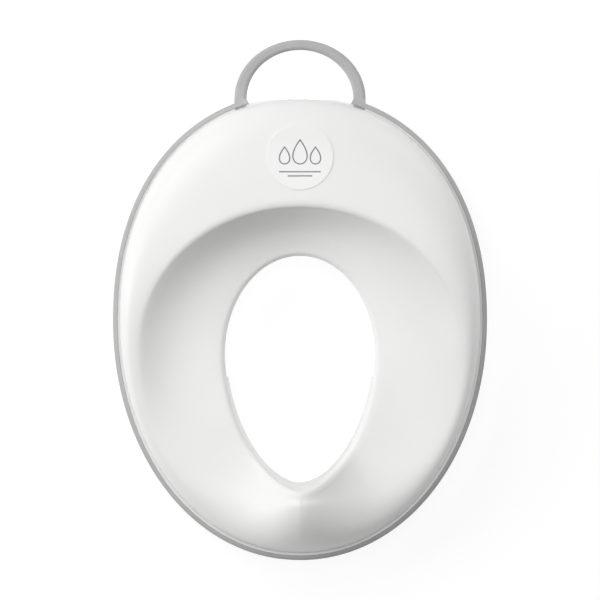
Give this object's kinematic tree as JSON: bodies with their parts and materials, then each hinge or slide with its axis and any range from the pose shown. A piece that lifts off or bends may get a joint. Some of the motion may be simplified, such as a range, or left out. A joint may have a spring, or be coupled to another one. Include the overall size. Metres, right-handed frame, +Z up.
{
  "type": "toilet training seat",
  "caption": "Child's toilet training seat with a splash hump, soft edge, hanging loop and a dial that moves a rear lip to fit the toilet.",
  "frame": {"origin": "under the middle of the bounding box, on the level of the lowest edges of the front and rear lips", "axes": "+Z up out of the sitting surface, +Y towards the back and the hanging loop, -Y towards the splash hump, +X to the right seen from above with the loop away from the viewer"},
  "size_m": [0.3104, 0.4317, 0.0982],
  "materials": {
    "shell_white": "satin moulded polypropylene",
    "badge_white": "smooth satin with a thin printed mark",
    "frame_white": "fine moulded texture",
    "soft_grey": "matte thermoplastic elastomer",
    "pad_grey": "matte anti-slip elastomer",
    "knob_grey": "satin moulded plastic",
    "acetal": "natural acetal",
    "screw_steel": "zinc-plated steel",
    "spring_steel": "bright spring steel"
  },
  "bodies": {
    "seat": {"seat_shell": "shell_white", "badge_disc": "badge_white", "soft_rim": "soft_grey", "carry_handle": "soft_grey", "base_frame": "frame_white", "front_grip_pad": "pad_grey", "rest_pad_front_right": "pad_grey", "rest_pad_front_left": "pad_grey", "rest_pad_rear_right": "pad_grey", "rest_pad_rear_left": "pad_grey", "mechanism_cover": "frame_white", "cover_screws": "screw_steel", "frame_screws": "screw_steel", "handle_screws": "screw_steel"},
    "dial": {"adjusting_knob": "knob_grey", "knob_grip_ring": "soft_grey", "drive_pinion": "acetal", "knob_screw": "screw_steel", "knob_washer": "screw_steel", "friction_washer": "spring_steel"},
    "slider": {"slider_rack": "frame_white", "slider_grip_pad": "pad_grey"}
  },
  "joints": [
    {"name": "dial_turn", "type": "hinge", "parent": "seat", "child": "dial", "pos_m": [0, 0.08, 0.044], "axis": [0, 0, 1], "range_deg": [0, 149.5]},
    {"name": "slider_travel", "type": "slide", "parent": "seat", "child": "slider", "axis": [0, 1, 0], "range_m": [0, 0.0235]}
  ],
  "couplings": [
    {"joint": "slider_travel", "follows": "dial_turn", "m_per_rad": 0.009}
  ]
}
